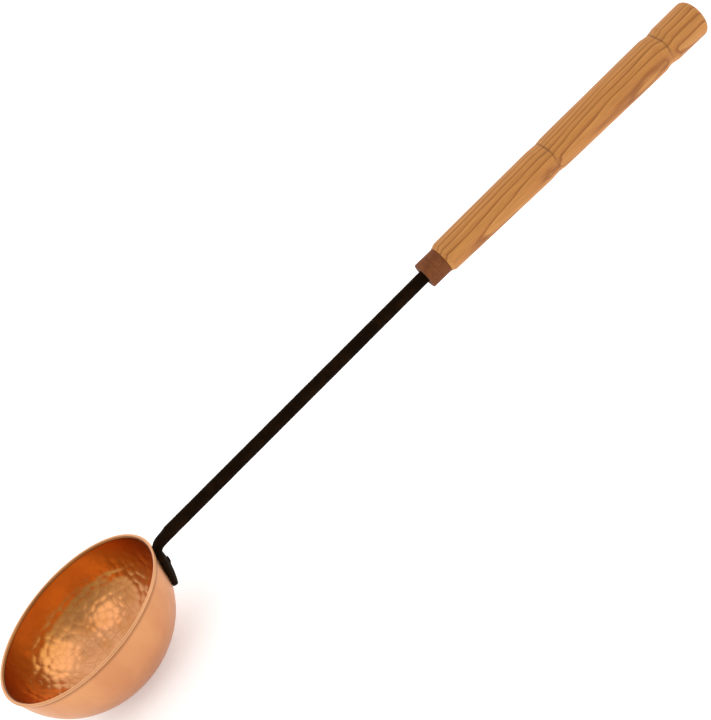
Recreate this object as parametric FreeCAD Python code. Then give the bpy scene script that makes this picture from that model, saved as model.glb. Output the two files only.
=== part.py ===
import FreeCAD, Part
import math
import os

# Hammered copper ladle: a bowl, a forged iron bar riveted to its side, and a wooden grip.
# Millimetres. Origin: centre of the bowl's flat base. +Z up the bowl's axis, +X towards the grip.

# ---- driving dimensions: bowl ------------------------------------------------------------
WALL_RADIUS = 56.0          # outside of the wall at the rim
WALL_DEPTH = 52.4           # depth of the full rounded profile, before the base is flattened
WALL_ROUNDNESS = 2.1        # exponent of the profile: 2 is an ellipse, more is squarer
SHEET = 1.1                 # copper sheet
BASE_FLATTENING = 0.8       # how far the bottom is beaten up to make the flat base
RIM_ROLL_RADIUS = 1.1       # half the thickness of the rolled rim
RIM_OVERHANG = 1.0          # how far the rolled rim stands out past the wall
RIM_ROLL_DROP = 0.935       # middle of the roll under the rim plane
RIM_CLEARANCE = 0.6         # the bar stands this far off the rim above the roll's middle

# ---- driving dimensions: bar, foot and rivet ----------------------------------------------
BAR_RADIUS = 4.0
BAR_RISE = 2.08             # degrees above the rim plane
BAR_DROP_AT_AXIS = 3.57     # the bar's line meets the bowl's axis this far under the rim
BEND_INSIDE_RADIUS = 3.4    # inside corner of the tight bend beside the rim
BEND_CENTRE_X = 62.0
BEND_TURN = 78.0            # degrees
THINNING_LENGTH = 7.0       # straight stretch before the bend where the bar starts to thin
NECK_HALF_THICKNESS = 2.4
NECK_HALF_WIDTH = 4.6
NECK_LATENESS = 1.3         # exponent: the more, the later round the bend it gets thin
NECK_RUN = 6.0              # the neck runs this far into the foot
FORGED_STEP = 0.06          # the forged stretch starts this much thinner than the bar
FORGED_LAP = 2.0            # and this far inside it
FOOT_RADIUS = 13.2
FOOT_DEPTH = 15.1           # centre of the foot under the rim plane
FOOT_LEAN = 20.0            # degrees, how far the foot's edge faces downwards
FOOT_THICKNESS = 3.6        # at the middle line
FOOT_CROWN_AXIS_X = 25.0    # the crown is turned about this line, so it is rounder than the bowl
FOOT_EDGE_ROUND = 1.2
FULLER_DEPTH = 0.6          # the foot is hollowed this much deeper than the inside of the bend
RIVET_DEPTH = 13.2          # under the rim plane
RIVET_SHANK_RADIUS = 2.0
RIVET_HEAD_RADIUS = 3.0
RIVET_HEAD_HEIGHT = 0.8
RIVET_TAIL_RADIUS = 3.0
RIVET_TAIL_HEIGHT = 0.5

# ---- driving dimensions: handle, measured along it from the bowl's axis --------------------
COLLAR_START = 275.4
COLLAR_END = 289.1
COLLAR_RADIUS = 8.45
COLLAR_WASHERS = 2
WASHER_EDGE_ROUND = 1.0
GRIP_DROOP = 1.19           # degrees, the collar and grip hang this much below the bar's line
GRIP_END = 495.5
GRIP_START_RADIUS = 9.85
GRIP_END_RADIUS = 12.15
GRIP_BELLY = 0.5            # how much of the taper is bowed outwards
GRIP_START_CHAMFER = 1.0
GRIP_START_CHAMFER_LENGTH = 3.0
GRIP_END_ROUND = 3.5
GROOVES = ((367.8, 374.8, 378.9, 0.5), (461.0, 466.3, 471.6, 0.85))  # start, lowest, end, depth
TANG_LENGTH = 120.0         # bar inside the grip
TANG_POINT = 4.0            # length of the tang's tapered tip
TANG_TIP_RADIUS = 2.5

# ---- worked out ----------------------------------------------------------------------------
BASE_DEPTH = WALL_DEPTH - BASE_FLATTENING
RIM_Z = BASE_DEPTH
ROLL_CENTRE_R = WALL_RADIUS + RIM_OVERHANG - RIM_ROLL_RADIUS
ROLL_CENTRE_Z = RIM_Z - RIM_ROLL_DROP
PROFILE_POINTS = 24
BEND_SECTIONS = 5
CLEAR = 4.0                 # cutting shapes start and stop this far outside what they cut
RISE = math.radians(BAR_RISE)
UP = FreeCAD.Vector(0, 0, 1)
ACROSS = FreeCAD.Vector(0, 1, 0)
BAR_DIR = FreeCAD.Vector(math.cos(RISE), 0, math.sin(RISE))
BAR_UP = FreeCAD.Vector(-math.sin(RISE), 0, math.cos(RISE))
BAR_ORIGIN = FreeCAD.Vector(0, 0, RIM_Z - BAR_DROP_AT_AXIS)
BEND_START = BAR_ORIGIN + BAR_DIR * BEND_CENTRE_X
BEND_CENTRE = BEND_START - BAR_UP * (BAR_RADIUS + BEND_INSIDE_RADIUS)
GRIP_RISE = math.radians(BAR_RISE - GRIP_DROOP)
GRIP_DIR = FreeCAD.Vector(math.cos(GRIP_RISE), 0, math.sin(GRIP_RISE))
KNEE = BAR_ORIGIN + BAR_DIR * COLLAR_START


def profile_radius(depth, grown):
    """Radius of the bowl's rounded profile at a depth below the rim, grown outwards."""
    share = min(depth / (WALL_DEPTH + grown), 1.0)
    power = 1.0 / WALL_ROUNDNESS
    return (WALL_RADIUS + grown) * (1.0 - share ** WALL_ROUNDNESS) ** power


def rounded_solid(grown, base_z, top_z, axis_x=0.0):
    """Solid turned from the bowl's profile, between two heights, about a vertical line."""
    depths = []
    for i in range(PROFILE_POINTS + 1):
        along = math.sin(0.5 * math.pi * i / PROFILE_POINTS)
        depths.append(RIM_Z - top_z + (top_z - base_z) * along)
    points = []
    for depth in depths:
        radius = profile_radius(max(depth, 0.0), grown) - axis_x
        points.append(FreeCAD.Vector(radius, 0, RIM_Z - depth))
    curve = Part.BSplineCurve()
    curve.interpolate(points)
    top = FreeCAD.Vector(0, 0, top_z)
    bottom = FreeCAD.Vector(0, 0, base_z)
    edges = [Part.makeLine(top, points[0]), curve.toShape()]
    edges.append(Part.makeLine(points[-1], bottom))
    edges.append(Part.makeLine(bottom, top))
    face = Part.Face(Part.Wire(edges))
    solid = face.revolve(FreeCAD.Vector(0, 0, 0), UP, 360)
    solid.rotate(FreeCAD.Vector(0, 0, 0), UP, 180)
    solid.translate(FreeCAD.Vector(axis_x, 0, 0))
    return solid


def rim_roll():
    return Part.makeTorus(ROLL_CENTRE_R, RIM_ROLL_RADIUS, FreeCAD.Vector(0, 0, ROLL_CENTRE_Z), UP)


def bowl_outside():
    """The bowl filled to well above its rim, used to shape what lies against it."""
    clear_radius = WALL_RADIUS + RIM_OVERHANG + RIM_CLEARANCE
    above = Part.makeCylinder(clear_radius, RIM_Z, FreeCAD.Vector(0, 0, ROLL_CENTRE_Z), UP)
    return rounded_solid(0.0, 0.0, ROLL_CENTRE_Z).fuse([rim_roll(), above])


def make_bowl():
    shell = rounded_solid(0.0, 0.0, ROLL_CENTRE_Z)
    hollow = rounded_solid(-SHEET, SHEET, ROLL_CENTRE_Z)
    return shell.cut(hollow).fuse(rim_roll())


def bar_section(centre, outward, half_thickness, half_width):
    """Closed oval across the bar: thickness along outward, width along Y."""
    oval = Part.Ellipse(centre + ACROSS * half_width, centre + outward * half_thickness, centre)
    return Part.Wire([oval.toShape()])


def bend_and_neck():
    """Forged stretch: the round bar thins, turns down beside the rim and widens into the foot."""
    turn = math.radians(BEND_TURN)
    arc_length = turn * (BEND_INSIDE_RADIUS + NECK_HALF_THICKNESS)
    full = BAR_RADIUS - FORGED_STEP
    arc = []
    for i in range(BEND_SECTIONS + 1):
        angle = turn * i / BEND_SECTIONS
        run = THINNING_LENGTH + arc_length * i / BEND_SECTIONS
        share = run / (THINNING_LENGTH + arc_length)
        thick = full + (NECK_HALF_THICKNESS - full) * share ** NECK_LATENESS
        wide = full + (NECK_HALF_WIDTH - full) * share
        outward = BAR_UP * math.cos(angle) - BAR_DIR * math.sin(angle)
        middle = BEND_CENTRE + outward * (BEND_INSIDE_RADIUS + thick)
        arc.append(bar_section(middle, outward, thick, wide))
    down = BAR_DIR * -math.cos(turn) - BAR_UP * math.sin(turn)
    end = bar_section(middle + down * NECK_RUN, outward, NECK_HALF_THICKNESS, NECK_HALF_WIDTH)
    lap = THINNING_LENGTH + FORGED_LAP
    start = bar_section(BEND_START + BAR_DIR * lap, BAR_UP, full - FORGED_STEP, full)
    thinning = Part.makeLoft([start, arc[0]], True, True)
    bend = Part.makeLoft(arc, True, False)
    neck = Part.makeLoft([arc[-1], end], True, True)
    return thinning.fuse([bend, neck])


def foot_axis(depth):
    """A point on the wall at a depth on the foot's middle line, and the way the foot faces."""
    lean = math.radians(FOOT_LEAN)
    middle = FreeCAD.Vector(profile_radius(depth, 0.0), 0, RIM_Z - depth)
    return middle, FreeCAD.Vector(math.cos(lean), 0, -math.sin(lean))


def foot_disc():
    """Round forged foot that lies on the wall, thickest along its middle line."""
    middle, facing = foot_axis(FOOT_DEPTH)
    width = 2.0 * FOOT_RADIUS
    punch = Part.makeCylinder(FOOT_RADIUS, 2.0 * width, middle - facing * width, facing)
    near_side = Part.makeBox(width, 2.0 * width, ROLL_CENTRE_Z)
    near_side.translate(FreeCAD.Vector(WALL_RADIUS - FOOT_RADIUS, -width, 0))
    lowest = RIM_Z - FOOT_DEPTH - FOOT_RADIUS - CLEAR
    crown = rounded_solid(FOOT_THICKNESS, lowest, RIM_Z, FOOT_CROWN_AXIS_X)
    blank = crown.common(punch).common(near_side)
    crown_edges = []
    for edge in blank.Edges:
        if edge.BoundBox.XMin > WALL_RADIUS - FOOT_RADIUS + FOOT_THICKNESS:
            crown_edges.append(edge)
    disc = blank.makeFillet(FOOT_EDGE_ROUND, crown_edges)
    fuller_radius = BEND_INSIDE_RADIUS + FULLER_DEPTH
    fuller = Part.makeCylinder(fuller_radius, 2.0 * width, BEND_CENTRE - ACROSS * width, ACROSS)
    return disc.cut(fuller)


def straight_bar():
    start = BEND_START + BAR_DIR * THINNING_LENGTH
    length = COLLAR_START - BEND_CENTRE_X - THINNING_LENGTH
    bar = Part.makeCylinder(BAR_RADIUS, length, start, BAR_DIR)
    knee = Part.makeSphere(BAR_RADIUS, KNEE)
    tang_run = COLLAR_END - COLLAR_START + TANG_LENGTH
    tang = Part.makeCylinder(BAR_RADIUS, tang_run, KNEE, GRIP_DIR)
    tip_start = KNEE + GRIP_DIR * tang_run
    tip = Part.makeCone(BAR_RADIUS, TANG_TIP_RADIUS, TANG_POINT, tip_start, GRIP_DIR)
    return bar.fuse([knee, tang, tip])


def make_handle_rod():
    body = straight_bar().fuse([bend_and_neck(), foot_disc()])
    return body.cut(bowl_outside()).removeSplitter()


def rivet_hole():
    """Drilled through wall and foot, clear of both."""
    middle, facing = foot_axis(RIVET_DEPTH)
    length = SHEET + FOOT_THICKNESS + 2.0 * CLEAR
    return Part.makeCylinder(RIVET_SHANK_RADIUS, length, middle - facing * (SHEET + CLEAR), facing)


def domed_head(seat, facing, radius, height):
    """Low domed rivet head: the part of a ball that stands out past the seat."""
    ball_radius = (radius * radius + height * height) / (2.0 * height)
    ball = Part.makeSphere(ball_radius, seat - facing * (ball_radius - height))
    collar = Part.makeCylinder(radius, 2.0 * radius, seat - facing * radius, facing)
    return ball.common(collar)


def make_rivet(bowl, rod):
    """One rivet through foot and wall, with both heads shaped by what they bear on."""
    middle, facing = foot_axis(RIVET_DEPTH)
    outer_seat = middle + facing * FOOT_THICKNESS
    inner_seat = middle - facing * SHEET
    head = domed_head(outer_seat, facing, RIVET_HEAD_RADIUS, RIVET_HEAD_HEIGHT)
    tail = domed_head(inner_seat, facing * -1, RIVET_TAIL_RADIUS, RIVET_TAIL_HEIGHT)
    grip_length = FOOT_THICKNESS + SHEET
    shank = Part.makeCylinder(RIVET_SHANK_RADIUS, grip_length, inner_seat, facing)
    return head.fuse([shank, tail]).cut(bowl.fuse(rod)).removeSplitter()


def make_washer(index):
    """One leather washer of the collar, bored for the bar."""
    thickness = (COLLAR_END - COLLAR_START) / COLLAR_WASHERS
    start = KNEE + GRIP_DIR * (thickness * index)
    disc = Part.makeCylinder(COLLAR_RADIUS, thickness, start, GRIP_DIR)
    rims = []
    for edge in disc.Edges:
        if isinstance(edge.Curve, Part.Circle):
            rims.append(edge)
    disc = disc.makeFillet(WASHER_EDGE_ROUND, rims)
    bore_length = COLLAR_END - COLLAR_START + 2.0 * BAR_RADIUS
    bore = Part.makeCylinder(BAR_RADIUS, bore_length, KNEE - GRIP_DIR * BAR_RADIUS, GRIP_DIR)
    return disc.cut(bore)


def grip_radius(along):
    share = (along - COLLAR_END) / (GRIP_END - COLLAR_END)
    bowed = (1.0 + GRIP_BELLY) * share - GRIP_BELLY * share * share
    return GRIP_START_RADIUS + (GRIP_END_RADIUS - GRIP_START_RADIUS) * bowed


def grip_point(along, inset=0.0):
    """Point of the grip's outline, in a plane where X is the distance along the handle."""
    return FreeCAD.Vector(along, 0, grip_radius(along) - inset)


def grip_stretch(start, end):
    """Gently bowed stretch of the grip's outline."""
    points = [grip_point(start), grip_point(0.5 * (start + end)), grip_point(end)]
    curve = Part.BSplineCurve()
    curve.interpolate(points)
    return curve.toShape()


def make_grip():
    body_start = COLLAR_END + GRIP_START_CHAMFER_LENGTH
    body_end = GRIP_END - GRIP_END_ROUND
    face_start = FreeCAD.Vector(COLLAR_END, 0, 0)
    chamfer_start = grip_point(COLLAR_END, GRIP_START_CHAMFER)
    edges = [Part.makeLine(face_start, chamfer_start)]
    edges.append(Part.makeLine(chamfer_start, grip_point(body_start)))
    place = body_start
    for start, lowest, end, depth in GROOVES:
        edges.append(grip_stretch(place, start))
        edges.append(Part.makeLine(grip_point(start), grip_point(lowest, depth)))
        edges.append(Part.makeLine(grip_point(lowest, depth), grip_point(end)))
        place = end
    edges.append(grip_stretch(place, body_end))
    last = grip_point(body_end)
    corner = math.sin(math.radians(45))
    round_middle = FreeCAD.Vector(body_end + GRIP_END_ROUND * corner, 0,
                                  last.z - GRIP_END_ROUND * (1.0 - corner))
    round_end = FreeCAD.Vector(GRIP_END, 0, last.z - GRIP_END_ROUND)
    edges.append(Part.Arc(last, round_middle, round_end).toShape())
    face_end = FreeCAD.Vector(GRIP_END, 0, 0)
    edges.append(Part.makeLine(round_end, face_end))
    edges.append(Part.makeLine(face_end, face_start))
    outline = Part.Face(Part.Wire(edges))
    wood = outline.revolve(FreeCAD.Vector(0, 0, 0), FreeCAD.Vector(1, 0, 0), 360)
    wood.translate(FreeCAD.Vector(-COLLAR_START, 0, 0))
    wood.rotate(FreeCAD.Vector(0, 0, 0), ACROSS, -math.degrees(GRIP_RISE))
    wood.translate(KNEE)
    return wood


def main():
    bowl = make_bowl()
    rod = make_handle_rod()
    hole = rivet_hole()
    bowl = bowl.cut(hole)
    rod = rod.cut(hole)
    rivet = make_rivet(bowl, rod)
    grip = make_grip().cut(rod)
    nodes = {"bowl": bowl, "handle_rod": rod, "rivet": rivet, "grip": grip}
    for index in range(COLLAR_WASHERS):
        nodes["collar_washer_%d" % (index + 1)] = make_washer(index).cut(rod)
    os.makedirs("parts", exist_ok=True)
    for name, shape in nodes.items():
        solids = shape.Solids
        print(name, "solids", len(solids), "valid", shape.isValid(), "mm3", round(shape.Volume, 1))
        shape.exportStep("parts/" + name + ".step")


main()
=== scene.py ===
import math
from collections import namedtuple

import bmesh
import bpy
import numpy as np
from mathutils import Matrix, Vector, noise


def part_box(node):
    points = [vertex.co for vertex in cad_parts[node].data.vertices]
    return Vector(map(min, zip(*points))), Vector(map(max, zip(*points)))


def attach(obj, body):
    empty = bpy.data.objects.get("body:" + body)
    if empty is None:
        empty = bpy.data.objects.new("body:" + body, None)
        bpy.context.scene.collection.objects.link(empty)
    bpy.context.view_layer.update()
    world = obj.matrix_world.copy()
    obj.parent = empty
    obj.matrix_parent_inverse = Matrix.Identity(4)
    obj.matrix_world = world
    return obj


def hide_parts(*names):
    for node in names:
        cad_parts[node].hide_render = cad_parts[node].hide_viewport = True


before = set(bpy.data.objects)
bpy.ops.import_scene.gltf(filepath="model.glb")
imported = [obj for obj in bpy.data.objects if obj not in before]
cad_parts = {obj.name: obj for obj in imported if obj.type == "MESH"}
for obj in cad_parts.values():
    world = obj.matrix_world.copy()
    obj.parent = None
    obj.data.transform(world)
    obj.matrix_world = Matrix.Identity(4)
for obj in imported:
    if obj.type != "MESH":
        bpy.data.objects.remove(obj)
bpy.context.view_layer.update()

# Looks of the hammered copper ladle. Metres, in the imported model's own frame:
# origin at the centre of the bowl's flat base, +Z up its axis, +X towards the grip.

MM = 0.001

# ---- bowl ----------------------------------------------------------------------------------
ROUNDNESS = 2.1                 # exponent of the rounded profile, 2 would be an ellipse
SHEET = 1.1 * MM
FLATTENING = 0.8 * MM           # how far the base is beaten up
BEAD = 0.9 * MM                 # half the thickness of the rolled rim
BEAD_OVERHANG = 1.0 * MM        # how far it stands out past the wall
BEAD_TUCK = 85.0                # degrees under the level where the roll meets the wall again
TUCK_DROP = 1.05 * BEAD         # the outside of the wall ends this far under the roll's middle
RIM_UNDER_TOP = 0.165 * MM      # the rounded profile is measured from this far under the top

BOWL_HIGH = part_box("bowl")[1]
RIM_Z = BOWL_HIGH.z - RIM_UNDER_TOP
BEAD_X = BOWL_HIGH.x - BEAD
BEAD_Z = BOWL_HIGH.z - BEAD
WALL_RADIUS = BOWL_HIGH.x - BEAD_OVERHANG
PROFILE_DEPTH = RIM_Z + FLATTENING

BOWL_AROUND = 420
INSIDE_ROWS = 112
BEAD_ROWS = 14
OUTSIDE_ROWS = 72

# Hammer blows: their spacing, how hollow and how deep one is, the least and greatest share of
# that depth, and how unevenly the hammer's face lands, as a slope.
Blows = namedtuple("Blows", "spacing radius depth spread tilt")
HAMMERED = Blows(5.3 * MM, 27.0 * MM, 0.23 * MM, (0.75, 1.2), 0.030)
PLANISHED = Blows(9.0 * MM, 300.0 * MM, 0.045 * MM, (0.6, 1.2), 0.002)
BLOW_SEED = 11
BLOW_WANDER = 0.13              # of the spacing
BLOW_FADE = (5.0 * MM, 22.0 * MM)   # below the rim: where the blows start, and are at full depth
RIM_BLOW_SHARE = 0.10           # of a blow's depth is there above that
CALM_EDGE = 4.0 * BEAD          # beside the roll and the base the blows fade out over this height
RIDGE_WIDTH = 0.035 * MM        # height off the ridge between two blows where it counts as ridge

CREASE_ROWS = 2                 # rows of the mesh on each side of a crease that are darkened with painted shade
LIP_SHADE = 0.7               # how brown the painted shade in the creases beside the roll is: inside the bowl
TUCK_SHADE = 0.4              # and outside
# how strong the painted dark reflection along the ridges between blows is
RIDGE_REFLECTION_STRENGTH = 0.5
WALL_REFLECTION_HEIGHTS = (12.0 * MM, 34.0 * MM)  # above the base: where the painted dark reflection on the inner wall starts, and is full
UNDER_SHADE_HEIGHTS = (6.0 * MM, 30.0 * MM)    # above the base: the outside is brown with painted shade up to, and unshaded from

# ---- iron ----------------------------------------------------------------------------------
BAR_RADIUS = 4.0 * MM
IRON_VOXEL = 0.6 * MM
RIVET_VOXEL = 0.2 * MM
IRON_DENT = 0.12 * MM
RIVET_DENT = 0.036 * MM
BROAD_DENTS = 6.0 * MM          # how wide the dents are
FINE_DENTS = 1.6 * MM
FINE_SHARE = 0.2                # how deep the fine ones are, beside the broad ones' 0.5
CUT_LENGTH = 15.0 * MM          # long faces are cut this short before they are remeshed
WELD_GAP = 0.001 * MM
SOFTEN_ROUNDS = 7

# ---- collar and grip -----------------------------------------------------------------------
WASHERS = ("collar_washer_1", "collar_washer_2")
WASHER_EDGE = 0.3 * MM
WASHER_CORNER_POINTS = 6
WASHER_WAVE = 0.12 * MM
WASHER_WAVE_LENGTH = 3.0 * MM
WASHER_LOBES = 2.0              # the more, the more uneven it is round about
WASHER_SEED = 7.0
WASHER_WORN_FROM = 0.7          # of its radius: further in, it isn't worn
WASHER_AROUND = 96
GRIP_RISE = 0.89                # degrees
GRIP_START_RADIUS = 9.85 * MM
GRIP_BELLY = 0.5                # how much of the taper is bowed outwards
GRIP_CHAMFER = 1.0 * MM
GRIP_CHAMFER_LENGTH = 3.0 * MM
GRIP_END_ROUND = 3.5 * MM
GRIP_AROUND = 144
GRIP_ROWS = 400
GRIP_WAVE = 0.14 * MM           # the knife and sandpaper leave the round this uneven
GRIP_WAVE_LENGTH = 22.0 * MM
GRIP_LOBES = 1.3
GRIP_SEED = 3.0
GROOVES = (                     # start, lowest, end, depth: measured from the grip's start
    (78.7 * MM, 85.7 * MM, 89.8 * MM, 0.5 * MM),
    (171.9 * MM, 177.2 * MM, 182.5 * MM, 0.85 * MM),
)
GROOVE_FULLNESS = 0.8           # exponent, 1 would be a plain V
GROOVE_SWAY = 0.35 * MM         # how far a groove leaves its ring, twice round
GROOVE_WOBBLE = 0.2 * MM        # and five times round
CUT_WIDTH = 0.7 * MM            # knife line at the bottom of each groove
CUT_DEPTH = 0.35 * MM
CUT_SIDE = -115.0               # degrees round from +Y towards the top: where the line is deepest
CUT_MEAN = 0.45                 # of its depth, on average
CUT_LEAST = 0.05

# ---- colours -------------------------------------------------------------------------------
COPPER_BOTTOM = (0.79, 0.355, 0.155, 1.0)
COPPER_BOTTOM_DULL = (0.74, 0.315, 0.130, 1.0)
# painted dark reflection: the inner wall near the rim, deeper orange
COPPER_WALL_REFLECTION = (0.70, 0.280, 0.048, 1.0)
COPPER_PATCH = (0.58, 0.21, 0.045, 1.0)
# painted dark reflection along the ridges between blows
COPPER_RIDGE_REFLECTION = (0.45, 0.150, 0.040, 1.0)
COPPER_SATIN = (0.69, 0.325, 0.145, 1.0)
COPPER_BAND = (0.63, 0.275, 0.122, 1.0)
# painted shade on the outside, underneath
COPPER_UNDER_SHADE = (0.50, 0.210, 0.088, 1.0)
# painted highlight on the roll
COPPER_ROLL_HIGHLIGHT = (0.74, 0.365, 0.170, 1.0)
# painted shade, brown, in the creases beside the roll
COPPER_CREASE_SHADE = (0.20, 0.07, 0.02, 1.0)
IRON_BLACK = (0.0085, 0.0042, 0.0018, 1.0)
IRON_BLOOM = (0.019, 0.0085, 0.0034, 1.0)
LEATHER_DARK = (0.19, 0.054, 0.014, 1.0)
LEATHER_BROWN = (0.26, 0.080, 0.021, 1.0)
# painted shade along the knife lines at the bottom of the grooves
WOOD_GROOVE_SHADE = (0.16, 0.05, 0.012, 1.0)
WOOD_GROWTH = (                 # share of a growth ring, and its colour there
    (0.0, (0.62, 0.265, 0.060, 1.0)),
    (0.45, (0.59, 0.240, 0.052, 1.0)),
    (0.72, (0.54, 0.205, 0.042, 1.0)),
    (0.88, (0.36, 0.120, 0.020, 1.0)),
    (0.95, (0.41, 0.145, 0.026, 1.0)),
    (1.0, (0.59, 0.245, 0.054, 1.0)),
)
PAPER = (0.93, 0.93, 0.93, 1.0)
WHITE = (1.0, 1.0, 1.0, 1.0)

# ---- finishes ------------------------------------------------------------------------------
MIDDLE_NOISE = (0.3, 0.7)       # noise lies mostly between these
CLOUD_SIZE = 9.0 * MM           # copper is cloudier and clearer in spots of this size
PATCH_SIZE = 22.0 * MM
DULLNESS_SIZE = 45.0 * MM
BAND_SIZE = 16.0 * MM
BAND_STRETCH = 5.0              # upwards
POLISHED_ROUGHNESS = (0.20, 0.28)
SATIN_ROUGHNESS = (0.34, 0.44)
COPPER_GRAIN = 0.9 * MM
COPPER_GRAIN_DEPTH = 0.012 * MM
LACQUER = 0.3                   # only inside
LACQUER_ROUGHNESS = 0.25
BLOOM_SIZE = 7.0 * MM
IRON_ROUGHNESS = (0.62, 0.80)
IRON_GLOSS = 0.012
SCALE_SIZE = 0.7 * MM
SCALE_DEPTH = 0.04 * MM
BLOTCH_SIZE = 6.0 * MM
PORE_SIZE = 0.55 * MM
PORE_DEPTH = 0.08 * MM
PORE_DUSK = (0.72, 1.0)         # how bright the leather is: in its pores, and beside them
LEATHER_ROUGHNESS = (0.88, 0.72)
LEATHER_GLOSS = 0.25
FIBRE_SIZE = 0.7 * MM
FIBRE_DEPTH = 0.03 * MM
FIBRE_DUSK = (0.78, 1.12)
WOOD_ROUGHNESS = (0.62, 0.50)
WOOD_GLOSS = 0.35

# ---- grain of the wood ---------------------------------------------------------------------
TO_PITH = Vector((0.0, 22.0 * MM, 8.0 * MM))    # from the handle's middle
GRAIN_LEAN = 1.2                # degrees, sideways off the grip
GROWTH_SPACING = 2.6 * MM
WAVE_PERIOD = math.pi / 10.0    # the wave texture's rings lie this far apart at scale 1
GROWTH_DRIFT = 0.8              # of a ring, how far the rings stray
DRIFT_SIZE = 18.0 * MM
DRIFT_NOISE = (0.2, 0.8)
DRIFT_STRETCH = 4.5             # along the grain
FIBRE_STRETCH = 40.0
# how strong the painted shade in the grooves is
GROOVE_SHADE_STRENGTH = 0.85

# ---- camera and light ----------------------------------------------------------------------
CAMERA_AIM = Vector((0.21354, 0.0, 0.04847))
CAMERA_DISTANCE = 0.7464
CAMERA_AZIMUTH = -94.26         # degrees from +X, seen from above
CAMERA_ELEVATION = 29.15
CAMERA_ROLL = 41.12
CAMERA_LENS = 65.0
CAMERA_SENSOR = 36.0
CAMERA_SHIFT = 0.0007           # of the picture's longer side, to the left and up
FLOOR_HALF = 30.0
FLOOR_GAP = 0.1 * MM            # the floor lies this far under the base
FLOOR_GLOW = 0.36               # it is lit from below, and stays white
WORLD_LIGHT = 0.95
SOFT_LIGHTS = (                 # azimuth, elevation, width and brightness over the room
    (-10.0, 32.0, 46.0, 0.50),
    (-115.0, 57.0, 38.0, 0.80),
    (-45.0, 48.0, 34.0, 0.25),
    (100.0, 38.0, 60.0, 0.32),
)
DARK_SIDE = (-90.0, 22.0)       # the room behind the camera is darker: azimuth, elevation
DARK_SIDE_SPAN = (75.0, 12.0)   # degrees off that way: where it starts, and is darkest
DARK_SIDE_LIGHT = 0.5


# ---- meshes --------------------------------------------------------------------------------
def smooth_step(value, low, high):
    share = np.clip((value - low) / (high - low), 0.0, 1.0)
    return share * share * (3.0 - 2.0 * share)


def skin(name, rings, start=None, end=None):
    """Closed mesh through rings of points: a fan at each end, or the last ring joined to the first."""
    rows, around = rings.shape[:2]
    index = np.arange(rows * around).reshape(rows, around)
    beside = np.roll(index, -1, axis=1)
    points = rings.reshape(-1, 3).tolist()
    faces = np.stack([index[:-1], beside[:-1], beside[1:], index[1:]], axis=-1).reshape(-1, 4).tolist()
    if start is None:
        faces += np.stack([index[-1], beside[-1], beside[0], index[0]], axis=-1).tolist()
    else:
        points += [list(start), list(end)]
        first = rows * around
        for a, b in zip(index[0].tolist(), beside[0].tolist()):
            faces.append((first, b, a))
        for a, b in zip(index[-1].tolist(), beside[-1].tolist()):
            faces.append((first + 1, a, b))
    mesh = bpy.data.meshes.new(name)
    mesh.from_pydata(points, [], faces)
    shell = bmesh.new()
    shell.from_mesh(mesh)
    bmesh.ops.recalc_face_normals(shell, faces=shell.faces)
    shell.to_mesh(mesh)
    shell.free()
    mesh.shade_smooth()
    return mesh


def add_piece(name, mesh, node, slot, *materials):
    piece = bpy.data.objects.new(name, mesh)
    bpy.context.scene.collection.objects.link(piece)
    for material in materials:
        mesh.materials.append(material)
    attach(piece, "root")
    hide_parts(node)
    return piece


def store(mesh, name, field):
    """Keeps a number for each point of the rings for the material, and 0 for the two fans' middles."""
    kept = mesh.attributes.new(name, "FLOAT", "POINT")
    values = np.concatenate([field.ravel(), [0.0, 0.0]])
    kept.data.foreach_set("value", values.astype(np.float32))


# ---- bowl's mesh ---------------------------------------------------------------------------
def turned(radius, height):
    """Rings about the bowl's axis from a profile."""
    angle = np.arange(BOWL_AROUND) * (2.0 * math.pi / BOWL_AROUND)
    rings = np.empty((len(radius), BOWL_AROUND, 3))
    rings[:, :, 0] = radius[:, None] * np.cos(angle)
    rings[:, :, 1] = radius[:, None] * np.sin(angle)
    rings[:, :, 2] = height[:, None]
    return rings


def rounded_profile(radius, depth, lowest_z, highest_z, rows):
    """Radius and height along the bowl's rounded profile, from beside its axis upwards."""
    power = 2.0 / ROUNDNESS
    last = math.acos(((RIM_Z - highest_z) / depth) ** (1.0 / power))
    angle = np.linspace(0.0, last, rows + 1)[1:]
    r = radius * np.sin(angle) ** power
    z = RIM_Z - depth * np.cos(angle) ** power
    return r, np.maximum(z, lowest_z)


def blow_centres(radius, height, spacing, rng):
    """Centres of hammer blows in rings over a turned profile that starts at its axis."""
    steps = np.hypot(np.diff(radius), np.diff(height))
    along = np.concatenate([[0.0], np.cumsum(steps)])
    centres = [(radius[0], 0.0, height[0])]
    for ring in np.arange(spacing, along[-1], spacing):
        ring_radius = np.interp(ring, along, radius)
        count = round(2.0 * math.pi * ring_radius / spacing)
        phase = rng.uniform(0.0, 2.0 * math.pi)
        for i in range(count):
            place = ring + rng.normal(0.0, BLOW_WANDER * spacing)
            angle = phase + (i + rng.normal(0.0, BLOW_WANDER)) * 2.0 * math.pi / count
            r = np.interp(place, along, radius)
            z = np.interp(place, along, height)
            centres.append((r * math.cos(angle), r * math.sin(angle), z))
    return np.array(centres)


def beaten(radius, height, blows, rng):
    """A profile's rings, how deep the blows go in at each point, and how clear of a ridge it is."""
    rings = turned(radius, height)
    centres = blow_centres(radius, height, blows.spacing, rng)
    depths = blows.depth * rng.uniform(*blows.spread, len(centres))
    tilts = rng.normal(0.0, blows.tilt, centres.shape)
    deep = np.zeros(rings.shape[:2])
    clear = np.zeros(rings.shape[:2])
    for row in range(len(rings)):
        gap = rings[row][:, None, :] - centres[None, :, :]
        cut = depths - (gap ** 2).sum(axis=-1) / (2.0 * blows.radius) + (gap * tilts).sum(axis=-1)
        best = np.sort(np.partition(cut, -2, axis=1)[:, -2:], axis=1)
        deep[row] = np.maximum(best[:, 1], 0.0)
        clear[row] = best[:, 1] - best[:, 0]
    return rings, deep, clear


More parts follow.
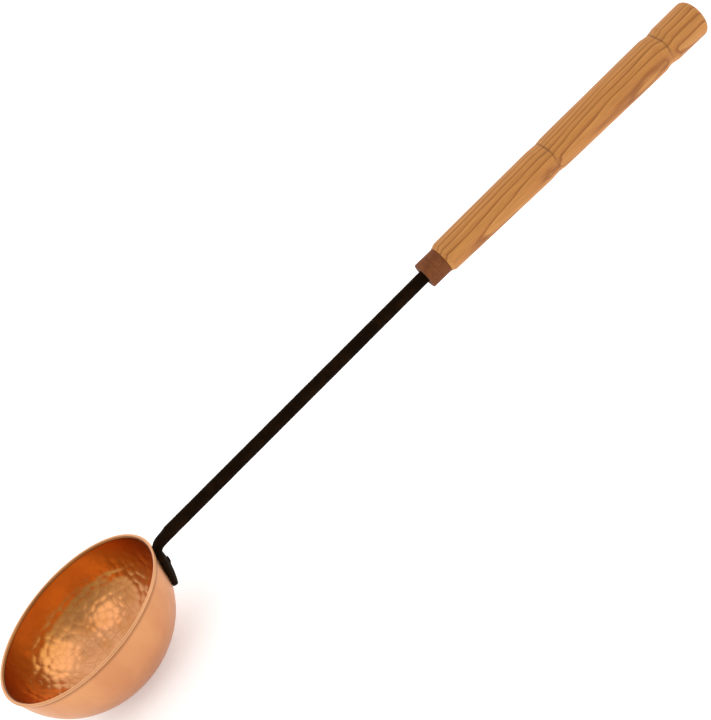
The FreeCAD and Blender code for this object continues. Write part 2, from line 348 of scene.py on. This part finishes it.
def pushed(rings, radius, height, deep):
    """The rings moved by deep along their profile's normal, to the right of the way it runs."""
    run_r = np.gradient(radius)
    run_z = np.gradient(height)
    size = np.hypot(run_r, run_z)
    outwards = (run_z / size)[:, None] * deep
    flat = np.hypot(rings[:, :, 0], rings[:, :, 1])
    moved = rings.copy()
    moved[:, :, 0] += outwards * rings[:, :, 0] / flat
    moved[:, :, 1] += outwards * rings[:, :, 1] / flat
    moved[:, :, 2] += (-run_r / size)[:, None] * deep
    return moved


def hammered_inside(rng):
    """Rings of the inside from the bottom up, and how near to a ridge between blows each point is."""
    radius, height = rounded_profile(WALL_RADIUS - SHEET, PROFILE_DEPTH - SHEET, SHEET, BEAD_Z, INSIDE_ROWS)
    rings, deep, clear = beaten(radius, height, HAMMERED, rng)
    fade = RIM_BLOW_SHARE + (1.0 - RIM_BLOW_SHARE) * smooth_step(RIM_Z - height, *BLOW_FADE)
    fade = (fade * smooth_step(RIM_Z - height, BEAD, CALM_EDGE))[:, None]
    return pushed(rings, radius, height, deep * fade), np.exp(-clear / RIDGE_WIDTH) * fade


def rolled_rim():
    """Rings round the roll, from the inside of the bowl over the top."""
    turn = np.radians(np.linspace(180.0, -BEAD_TUCK, BEAD_ROWS))
    return turned(BEAD_X + BEAD * np.cos(turn), BEAD_Z + BEAD * np.sin(turn))


def planished_outside(rng):
    """Rings of the outside from the roll down."""
    tuck_z = BEAD_Z - TUCK_DROP
    radius, height = rounded_profile(WALL_RADIUS, PROFILE_DEPTH, 0.0, tuck_z, OUTSIDE_ROWS)
    rings, deep, _ = beaten(radius, height, PLANISHED, rng)
    deep *= smooth_step(tuck_z - height, 0.0, CALM_EDGE)[:, None]
    deep *= smooth_step(height, 0.0, CALM_EDGE)[:, None]
    return pushed(rings, radius, height, -deep)[::-1]


def split_finishes(mesh, rows):
    """The inside takes the bowl's first material, the roll and the outside its second."""
    quads = (rows - 1) * BOWL_AROUND
    second = np.zeros(quads + 2 * BOWL_AROUND, dtype=np.int32)
    second[INSIDE_ROWS * BOWL_AROUND:quads] = 1
    second[quads + BOWL_AROUND:] = 1
    mesh.polygons.foreach_set("material_index", second)


def bowl_mesh():
    """Beaten bowl in one shell: hammered inside, rolled rim, planished outside."""
    rng = np.random.default_rng(BLOW_SEED)
    inside, near_ridge = hammered_inside(rng)
    rings = np.concatenate([inside, rolled_rim(), planished_outside(rng)])
    bottom = (0.0, 0.0, inside[0, :, 2].mean())
    mesh = skin("bowl_copper", rings, bottom, (0.0, 0.0, 0.0))
    split_finishes(mesh, len(rings))
    lip = INSIDE_ROWS
    tuck = INSIDE_ROWS + BEAD_ROWS
    # painted shade in the creases on either side of the roll
    crease_shade = np.zeros(rings.shape[:2])
    crease_shade[lip - CREASE_ROWS:lip + CREASE_ROWS] = LIP_SHADE
    crease_shade[tuck - CREASE_ROWS:tuck + CREASE_ROWS] = TUCK_SHADE
    # painted highlight on the roll, between its creases
    roll = np.zeros(rings.shape[:2])
    roll[lip + CREASE_ROWS:tuck - CREASE_ROWS] = 1.0
    # painted dark reflection along the ridges between blows, inside only
    ridge_reflection = np.zeros(rings.shape[:2])
    ridge_reflection[:lip] = near_ridge
    store(mesh, "crease_shade", crease_shade)
    store(mesh, "roll", roll)
    store(mesh, "ridge_reflection", ridge_reflection)
    return mesh


# ---- iron's meshes -------------------------------------------------------------------------
def cut_short(node):
    """The node's mesh, welded, with its long faces cut into short ones."""
    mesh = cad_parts[node].data.copy()
    weld = bmesh.new()
    weld.from_mesh(mesh)
    bmesh.ops.remove_doubles(weld, verts=weld.verts, dist=WELD_GAP)
    low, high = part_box(node)
    for place in np.arange(low.x + CUT_LENGTH, high.x, CUT_LENGTH):
        parts = weld.verts[:] + weld.edges[:] + weld.faces[:]
        bmesh.ops.bisect_plane(weld, geom=parts, plane_co=(place, 0.0, 0.0), plane_no=(1.0, 0.0, 0.0))
    weld.to_mesh(mesh)
    weld.free()
    return mesh


def remeshed(mesh, name, voxel):
    """The mesh made new from even squares and softened, which rounds its edges."""
    blank = bpy.data.objects.new(name + "_blank", mesh)
    bpy.context.scene.collection.objects.link(blank)
    remesh = blank.modifiers.new("remesh", "REMESH")
    remesh.mode = "VOXEL"
    remesh.voxel_size = voxel
    soften = blank.modifiers.new("soften", "SMOOTH")
    soften.factor = 0.5
    soften.iterations = SOFTEN_ROUNDS
    view = bpy.context.evaluated_depsgraph_get()
    made = bpy.data.meshes.new_from_object(blank.evaluated_get(view))
    bpy.data.objects.remove(blank)
    made.name = name
    made.materials.clear()
    return made


def keep_largest(mesh):
    """Takes away the crumbs that remeshing leaves beside a solid's thin edges."""
    shell = bmesh.new()
    shell.from_mesh(mesh)
    unseen = set(shell.verts)
    islands = []
    while unseen:
        island = [unseen.pop()]
        for vertex in island:
            for edge in vertex.link_edges:
                beside = edge.other_vert(vertex)
                if beside in unseen:
                    unseen.remove(beside)
                    island.append(beside)
        islands.append(island)
    islands.sort(key=len)
    for crumb in islands[:-1]:
        bmesh.ops.delete(shell, geom=crumb, context="VERTS")
    shell.to_mesh(mesh)
    shell.free()


def forged_mesh(node, name, voxel, dent):
    """The node's solid with its edges softened and its faces unevenly hammered."""
    mesh = remeshed(cut_short(node), name, voxel)
    keep_largest(mesh)
    normals = [normal.vector.copy() for normal in mesh.vertex_normals]
    for vertex, normal in zip(mesh.vertices, normals):
        broad = noise.noise(vertex.co / BROAD_DENTS)
        fine = noise.noise(vertex.co / FINE_DENTS)
        vertex.co -= normal * (dent * (0.5 + 0.5 * broad + FINE_SHARE * fine))
    mesh.shade_smooth()
    return mesh


# ---- meshes of the collar and the grip -----------------------------------------------------
def handle_frame():
    """Where the collar starts, how thick one washer is, and the handle's three directions."""
    rise = math.radians(GRIP_RISE)
    forward = Vector((math.cos(rise), 0.0, math.sin(rise)))
    across = Vector((0.0, 1.0, 0.0))
    up = forward.cross(across) * -1.0
    middles = []
    for node in WASHERS:
        low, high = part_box(node)
        middles.append((low + high) * 0.5)
    thickness = (middles[1] - middles[0]).length
    return middles[0] - forward * (0.5 * thickness), thickness, forward, across, up


def along_handle(start, forward, across, up, places, radii):
    """Rings about the handle: places are distances along it, radii an array of rows by around."""
    angle = np.arange(radii.shape[1]) * (2.0 * math.pi / radii.shape[1])
    rings = np.array(start) + places[:, None, None] * np.array(forward)
    rings = rings + (radii * np.cos(angle))[:, :, None] * np.array(across)
    return rings + (radii * np.sin(angle))[:, :, None] * np.array(up)


def uneven(places, around, size_along, lobes, seed):
    """Smooth unevenness between 0 and 1, by distance along the handle and round it."""
    field = np.empty((len(places), around))
    for j in range(around):
        angle = 2.0 * math.pi * j / around
        x = lobes * math.cos(angle)
        y = lobes * math.sin(angle)
        for i, place in enumerate(places):
            field[i, j] = noise.noise((x + seed, y, place / size_along))
    return np.clip(0.5 + 0.5 * field, 0.0, 1.0)


def washer_mesh(index):
    """One leather washer with worn edges, bored for the bar."""
    start, thickness, forward, across, up = handle_frame()
    _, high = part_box(WASHERS[index])
    outer = high.y
    near = [(0.0, BAR_RADIUS), (0.0, 0.5 * (BAR_RADIUS + outer))]
    for turn in np.radians(np.linspace(0.0, 90.0, WASHER_CORNER_POINTS)):
        near.append((WASHER_EDGE * (1.0 - math.cos(turn)), outer - WASHER_EDGE * (1.0 - math.sin(turn))))
    far = [(thickness - place, radius) for place, radius in reversed(near)]
    middle = [(thickness * share, outer) for share in (0.25, 0.4, 0.6, 0.75)]
    section = np.array(near + middle + far)
    places = section[:, 0] + thickness * index
    radii = np.repeat(section[:, 1][:, None], WASHER_AROUND, axis=1)
    wear_and_shade = uneven(places, WASHER_AROUND, WASHER_WAVE_LENGTH, WASHER_LOBES, WASHER_SEED + index)
    outside = (section[:, 1] > WASHER_WORN_FROM * outer)[:, None]
    radii -= WASHER_WAVE * wear_and_shade * outside
    rings = along_handle(start, forward, across, up, places, radii)
    return skin("collar_leather_%d" % (index + 1), rings)


def grip_outline(length, end_radius):
    """Distances along the grip and radii, before grooves, with chamfered start and rounded end."""
    places = np.linspace(0.0, length, GRIP_ROWS)
    share = places / length
    bowed = (1.0 + GRIP_BELLY) * share - GRIP_BELLY * share ** 2
    radii = GRIP_START_RADIUS + (end_radius - GRIP_START_RADIUS) * bowed
    radii -= GRIP_CHAMFER * (1.0 - smooth_step(places, 0.0, GRIP_CHAMFER_LENGTH))
    into = np.clip(places - (length - GRIP_END_ROUND), 0.0, GRIP_END_ROUND)
    radii -= GRIP_END_ROUND - np.sqrt(GRIP_END_ROUND ** 2 - into ** 2)
    return places, radii


def grooved(places, outline):
    """The grip's radii, rows by around, with its grooves cut in, and how far in a knife line each is."""
    radii = np.repeat(outline[:, None], GRIP_AROUND, axis=1)
    angle = np.arange(GRIP_AROUND) * (2.0 * math.pi / GRIP_AROUND)
    side = CUT_MEAN + (1.0 - CUT_MEAN) * np.cos(angle - math.radians(CUT_SIDE))
    side = np.clip(side, CUT_LEAST, 1.0)
    in_line = np.zeros(radii.shape)
    for number, (first, lowest, last, depth) in enumerate(GROOVES):
        sway = GROOVE_SWAY * np.sin(2.0 * angle + number) + GROOVE_WOBBLE * np.sin(5.0 * angle + 2.0)
        place = places[:, None] - sway
        down = np.clip((place - first) / (lowest - first), 0.0, 1.0)
        back = np.clip((last - place) / (last - lowest), 0.0, 1.0)
        radii -= depth * np.minimum(down, back) ** GROOVE_FULLNESS
        cut = side * np.clip(1.0 - np.abs(place - lowest) / CUT_WIDTH, 0.0, 1.0)
        radii -= CUT_DEPTH * cut
        in_line = np.maximum(in_line, cut)
    return radii, in_line


def grip_mesh():
    """Turned grip with two grooves and a rounded end."""
    start, thickness, forward, across, up = handle_frame()
    start = start + forward * (len(WASHERS) * thickness)
    _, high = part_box("grip")
    rise = math.radians(GRIP_RISE)
    face_radius = high.y - GRIP_END_ROUND
    length = (high.x - face_radius * math.sin(rise) - start.x) / math.cos(rise)
    places, outline = grip_outline(length, high.y)
    radii, in_line = grooved(places, outline)
    radii -= GRIP_WAVE * uneven(places, GRIP_AROUND, GRIP_WAVE_LENGTH, GRIP_LOBES, GRIP_SEED)
    rings = along_handle(start, forward, across, up, places, radii)
    mesh = skin("grip_wood", rings, start, start + forward * length)
    # painted shade along the knife lines in the grooves
    store(mesh, "groove_shade", in_line)
    return mesh


# ---- nodes of the materials ----------------------------------------------------------------
def new_material(name):
    material = bpy.data.materials.new(name)
    material.use_nodes = True
    tree = material.node_tree
    shader = tree.nodes["Principled BSDF"]
    return material, tree, shader


def add_node(tree, kind, inputs=(), **settings):
    """A node with its properties, and its inputs as (socket, value or source) pairs."""
    made = tree.nodes.new(kind)
    for key, value in settings.items():
        setattr(made, key, value)
    for socket, value in inputs:
        if isinstance(value, bpy.types.NodeSocket):
            tree.links.new(value, made.inputs[socket])
        else:
            made.inputs[socket].default_value = value
    return made


def object_place(tree):
    return add_node(tree, "ShaderNodeTexCoord").outputs["Object"]


def turned_place(tree, origin, rotation, stretch):
    """The place on the object, in a frame with this origin and rotation, drawn out along its Z."""
    pairs = (("Vector", object_place(tree)), ("Location", origin), ("Rotation", rotation),
             ("Scale", (1.0, 1.0, stretch)))
    return add_node(tree, "ShaderNodeMapping", pairs, vector_type="TEXTURE").outputs[0]


def object_height(tree):
    return add_node(tree, "ShaderNodeSeparateXYZ", ((0, object_place(tree)),)).outputs["Z"]


def noise_at(tree, place, size, detail=3.0, roughness=0.5):
    """Noise with features of about this size, in metres."""
    pairs = (("Vector", place), ("Scale", 1.0 / size), ("Detail", detail), ("Roughness", roughness))
    return add_node(tree, "ShaderNodeTexNoise", pairs).outputs["Fac"]


def remap(tree, value, low, high, to_low, to_high):
    pairs = ((0, value), (1, low), (2, high), (3, to_low), (4, to_high))
    return add_node(tree, "ShaderNodeMapRange", pairs).outputs[0]


def share_between(tree, value, low, high):
    """How far the value has come from low to high, from 0 to 1."""
    return remap(tree, value, low, high, 0.0, 1.0)


def calculate(tree, operation, first, second):
    return add_node(tree, "ShaderNodeMath", ((0, first), (1, second)), operation=operation).outputs[0]


def mix_colour(tree, share, first, second, blend="MIX"):
    pairs = ((0, share), (6, first), (7, second))
    return add_node(tree, "ShaderNodeMix", pairs, data_type="RGBA", blend_type=blend).outputs[2]


def dimmed(tree, colour, share):
    grey = add_node(tree, "ShaderNodeCombineColor", ((0, share), (1, share), (2, share))).outputs[0]
    return mix_colour(tree, 1.0, colour, grey, "MULTIPLY")


def colour_ramp(tree, value, stops):
    """The colours of the stops, (position, colour) pairs from 0 to 1, by the value."""
    made = add_node(tree, "ShaderNodeValToRGB", (("Fac", value),))
    elements = made.color_ramp.elements
    elements[0].color = stops[0][1]
    elements[1].color = stops[-1][1]
    for position, colour in stops[1:-1]:
        elements.new(position).color = colour
    return made.outputs[0]


def attribute(tree, name):
    return add_node(tree, "ShaderNodeAttribute", attribute_name=name).outputs["Fac"]


def finish(tree, shader, colour, roughness, grain, grain_depth):
    """Gives the shader its colour and roughness, and a grain too fine for the mesh."""
    pairs = (("Height", grain), ("Distance", grain_depth), ("Strength", 1.0))
    tree.links.new(colour, shader.inputs["Base Color"])
    tree.links.new(roughness, shader.inputs["Roughness"])
    tree.links.new(add_node(tree, "ShaderNodeBump", pairs).outputs[0], shader.inputs["Normal"])


# ---- materials -----------------------------------------------------------------------------
def finish_copper(tree, shader, unshaded, roughness, lacquer):
    """Painted shade, brown, in the creases beside the roll, cloudy gloss, fine grain and lacquer."""
    place = object_place(tree)
    # brown painted shade in the creases beside the roll
    colour = mix_colour(tree, attribute(tree, "crease_shade"), unshaded, COPPER_CREASE_SHADE)
    cloud = noise_at(tree, place, CLOUD_SIZE, 5.0, 0.6)
    grain = noise_at(tree, place, COPPER_GRAIN, 4.0, 0.65)
    gloss = remap(tree, cloud, *MIDDLE_NOISE, *roughness)
    finish(tree, shader, colour, gloss, grain, COPPER_GRAIN_DEPTH)
    shader.inputs["Metallic"].default_value = 1.0
    shader.inputs["Coat Weight"].default_value = lacquer
    shader.inputs["Coat Roughness"].default_value = LACQUER_ROUGHNESS


def copper_inside():
    """Polished copper: heat-toned in patches, with painted dark reflection deepening its orange near the
    rim and darkening the ridges between blows.
    """
    material, tree, shader = new_material("copper_polished")
    place = object_place(tree)
    patch = share_between(tree, noise_at(tree, place, PATCH_SIZE, 4.0, 0.6), 0.50, 0.75)
    dullness = share_between(tree, noise_at(tree, place, DULLNESS_SIZE, 2.0), 0.4, 0.65)
    # painted dark reflection, deeper orange, on the inner wall near the rim
    near_rim = share_between(tree, object_height(tree), *WALL_REFLECTION_HEIGHTS)
    bottom = mix_colour(tree, dullness, COPPER_BOTTOM, COPPER_BOTTOM_DULL)
    wall_reflected = mix_colour(tree, near_rim, bottom, COPPER_WALL_REFLECTION)
    patched = mix_colour(tree, patch, wall_reflected, COPPER_PATCH)
    # painted dark reflection along the ridges between blows
    ridge_reflection = calculate(tree, "MULTIPLY", attribute(tree, "ridge_reflection"), RIDGE_REFLECTION_STRENGTH)
    ridge_reflected = mix_colour(tree, ridge_reflection, patched, COPPER_RIDGE_REFLECTION)
    finish_copper(tree, shader, ridge_reflected, POLISHED_ROUGHNESS, LACQUER)
    return material


def copper_outside():
    """Satin copper with faint upright bands, painted shade that makes it browner underneath, and a painted
    highlight on the roll.
    """
    material, tree, shader = new_material("copper_satin")
    upright = turned_place(tree, (0.0, 0.0, 0.0), (0.0, 0.0, 0.0), BAND_STRETCH)
    band = share_between(tree, noise_at(tree, upright, BAND_SIZE), 0.38, 0.66)
    satin = mix_colour(tree, band, COPPER_SATIN, COPPER_BAND)
    # painted shade, browner, on the outside underneath
    unshaded = share_between(tree, object_height(tree), *UNDER_SHADE_HEIGHTS)
    wear_and_shade = mix_colour(tree, unshaded, COPPER_UNDER_SHADE, satin)
    # painted highlight on the roll
    roll_highlighted = mix_colour(tree, attribute(tree, "roll"), wear_and_shade, COPPER_ROLL_HIGHLIGHT)
    finish_copper(tree, shader, roll_highlighted, SATIN_ROUGHNESS, 0.0)
    return material


def iron_material():
    """Blackened forged iron with a faint brown bloom."""
    material, tree, shader = new_material("forged_iron")
    place = object_place(tree)
    bloom = noise_at(tree, place, BLOOM_SIZE, 5.0, 0.6)
    colour = mix_colour(tree, share_between(tree, bloom, 0.42, 0.75), IRON_BLACK, IRON_BLOOM)
    scale = noise_at(tree, place, SCALE_SIZE, 4.0, 0.6)
    roughness = remap(tree, bloom, 0.3, 0.75, *IRON_ROUGHNESS)
    finish(tree, shader, colour, roughness, scale, SCALE_DEPTH)
    shader.inputs["Specular IOR Level"].default_value = IRON_GLOSS
    return material


def leather_material():
    """Dull brown leather, darker in its pores."""
    material, tree, shader = new_material("collar_leather")
    place = object_place(tree)
    blotch = noise_at(tree, place, BLOTCH_SIZE, 4.0, 0.6)
    colour = mix_colour(tree, share_between(tree, blotch, 0.35, 0.68), LEATHER_DARK, LEATHER_BROWN)
    pores = noise_at(tree, place, PORE_SIZE, 3.0, 0.7)
    colour = dimmed(tree, colour, remap(tree, pores, 0.35, 0.6, *PORE_DUSK))
    roughness = remap(tree, pores, *MIDDLE_NOISE, *LEATHER_ROUGHNESS)
    finish(tree, shader, colour, roughness, pores, PORE_DEPTH)
    shader.inputs["Specular IOR Level"].default_value = LEATHER_GLOSS
    return material


def growth_rings(tree, start, grain):
    """How far across its growth ring each place lies, from 0 to 1, with rings that stray a little."""
    around_pith = turned_place(tree, start + TO_PITH, grain, 1.0)
    pairs = (("Vector", around_pith), ("Scale", WAVE_PERIOD / GROWTH_SPACING))
    rings = add_node(tree, "ShaderNodeTexWave", pairs,
                     wave_type="RINGS", rings_direction="Z", wave_profile="SAW").outputs["Fac"]
    drift = noise_at(tree, turned_place(tree, start, grain, DRIFT_STRETCH), DRIFT_SIZE, 2.0)
    offset = remap(tree, drift, *DRIFT_NOISE, -GROWTH_DRIFT, GROWTH_DRIFT)
    return calculate(tree, "FLOORED_MODULO", calculate(tree, "ADD", rings, offset), 1.0)


def wood_material():
    """Oiled softwood: growth rings about a pith outside the grip, fine fibres, and painted shade along the
    knife lines in the grooves.
    """
    material, tree, shader = new_material("grip_pine")
    start, _, forward, _, _ = handle_frame()
    lean = Matrix.Rotation(math.radians(GRAIN_LEAN), 3, "Z")
    grain = (lean @ forward).to_track_quat("Z", "Y").to_euler()
    ringed = colour_ramp(tree, growth_rings(tree, start, grain), WOOD_GROWTH)
    fibre = noise_at(tree, turned_place(tree, start, grain, FIBRE_STRETCH), FIBRE_SIZE, 4.0, 0.6)
    grained = dimmed(tree, ringed, remap(tree, fibre, *MIDDLE_NOISE, *FIBRE_DUSK))
    # painted shade along the knife lines in the grooves
    groove_shade = calculate(tree, "MULTIPLY", attribute(tree, "groove_shade"), GROOVE_SHADE_STRENGTH)
    colour = mix_colour(tree, groove_shade, grained, WOOD_GROOVE_SHADE)
    roughness = remap(tree, fibre, *MIDDLE_NOISE, *WOOD_ROUGHNESS)
    finish(tree, shader, colour, roughness, fibre, FIBRE_DEPTH)
    shader.inputs["Specular IOR Level"].default_value = WOOD_GLOSS
    return material


# ---- stage ---------------------------------------------------------------------------------
def add_floor():
    mesh = bpy.data.meshes.new("floor")
    corners = [(-1.0, -1.0), (1.0, -1.0), (1.0, 1.0), (-1.0, 1.0)]
    mesh.from_pydata([(x * FLOOR_HALF, y * FLOOR_HALF, -FLOOR_GAP) for x, y in corners], [], [(0, 1, 2, 3)])
    floor = bpy.data.objects.new("floor", mesh)
    bpy.context.scene.collection.objects.link(floor)
    material, _, shader = new_material("floor_paper")
    shader.inputs["Base Color"].default_value = PAPER
    shader.inputs["Roughness"].default_value = 0.9
    shader.inputs["Specular IOR Level"].default_value = 0.0
    shader.inputs["Emission Color"].default_value = WHITE
    shader.inputs["Emission Strength"].default_value = FLOOR_GLOW
    mesh.materials.append(material)


def towards(azimuth, elevation):
    """Unit vector at an azimuth from +X and an elevation, in degrees."""
    turn = math.radians(azimuth)
    rise = math.radians(elevation)
    return Vector((math.cos(turn) * math.cos(rise), math.sin(turn) * math.cos(rise), math.sin(rise)))


def add_room():
    """White room with a darker side behind the camera."""
    world = bpy.data.worlds.new("studio")
    world.use_nodes = True
    tree = world.node_tree
    way = add_node(tree, "ShaderNodeTexCoord").outputs["Generated"]
    pairs = ((0, way), (1, towards(*DARK_SIDE)))
    aligned = add_node(tree, "ShaderNodeVectorMath", pairs, operation="DOT_PRODUCT").outputs["Value"]
    edge, middle = (math.cos(math.radians(angle)) for angle in DARK_SIDE_SPAN)
    light = remap(tree, aligned, edge, middle, WORLD_LIGHT, DARK_SIDE_LIGHT)
    tree.links.new(light, tree.nodes["Background"].inputs["Strength"])
    tree.nodes["Background"].inputs["Color"].default_value = WHITE
    bpy.context.scene.world = world


def add_soft_lights():
    """Wide suns: each shines as its brightness over the size of its disc."""
    for azimuth, elevation, width, brightness in SOFT_LIGHTS:
        light = bpy.data.lights.new("soft_light", "SUN")
        light.angle = math.radians(width)
        light.energy = brightness * math.pi * math.sin(0.5 * light.angle) ** 2
        lamp = bpy.data.objects.new("soft_light", light)
        lamp.rotation_euler = towards(azimuth, elevation).to_track_quat("Z", "Y").to_euler()
        bpy.context.scene.collection.objects.link(lamp)


def add_camera():
    back = towards(CAMERA_AZIMUTH, CAMERA_ELEVATION)
    level = Vector((0.0, 0.0, 1.0)).cross(back).normalized()
    upright = back.cross(level)
    roll = math.radians(CAMERA_ROLL)
    right = level * math.cos(roll) - upright * math.sin(roll)
    up = back.cross(right)
    data = bpy.data.cameras.new("camera")
    data.lens = CAMERA_LENS
    data.sensor_width = CAMERA_SENSOR
    data.shift_x = -CAMERA_SHIFT
    data.shift_y = CAMERA_SHIFT
    camera = bpy.data.objects.new("camera", data)
    turn = Matrix((right, up, back)).transposed().to_4x4()
    camera.matrix_world = Matrix.Translation(CAMERA_AIM + back * CAMERA_DISTANCE) @ turn
    bpy.context.scene.collection.objects.link(camera)
    bpy.context.scene.camera = camera


iron = iron_material()
leather = leather_material()
add_piece("bowl_copper", bowl_mesh(), "bowl", "copper", copper_inside(), copper_outside())
rod = forged_mesh("handle_rod", "rod_iron", IRON_VOXEL, IRON_DENT)
add_piece("rod_iron", rod, "handle_rod", "forged_iron", iron)
rivet = forged_mesh("rivet", "rivet_iron", RIVET_VOXEL, RIVET_DENT)
add_piece("rivet_iron", rivet, "rivet", "forged_iron", iron)
for index, node in enumerate(WASHERS):
    add_piece("collar_leather_%d" % (index + 1), washer_mesh(index), node, "leather", leather)
add_piece("grip_wood", grip_mesh(), "grip", "pine", wood_material())
add_floor()
add_room()
add_soft_lights()
add_camera()
bpy.context.scene.view_settings.view_transform = "Standard"
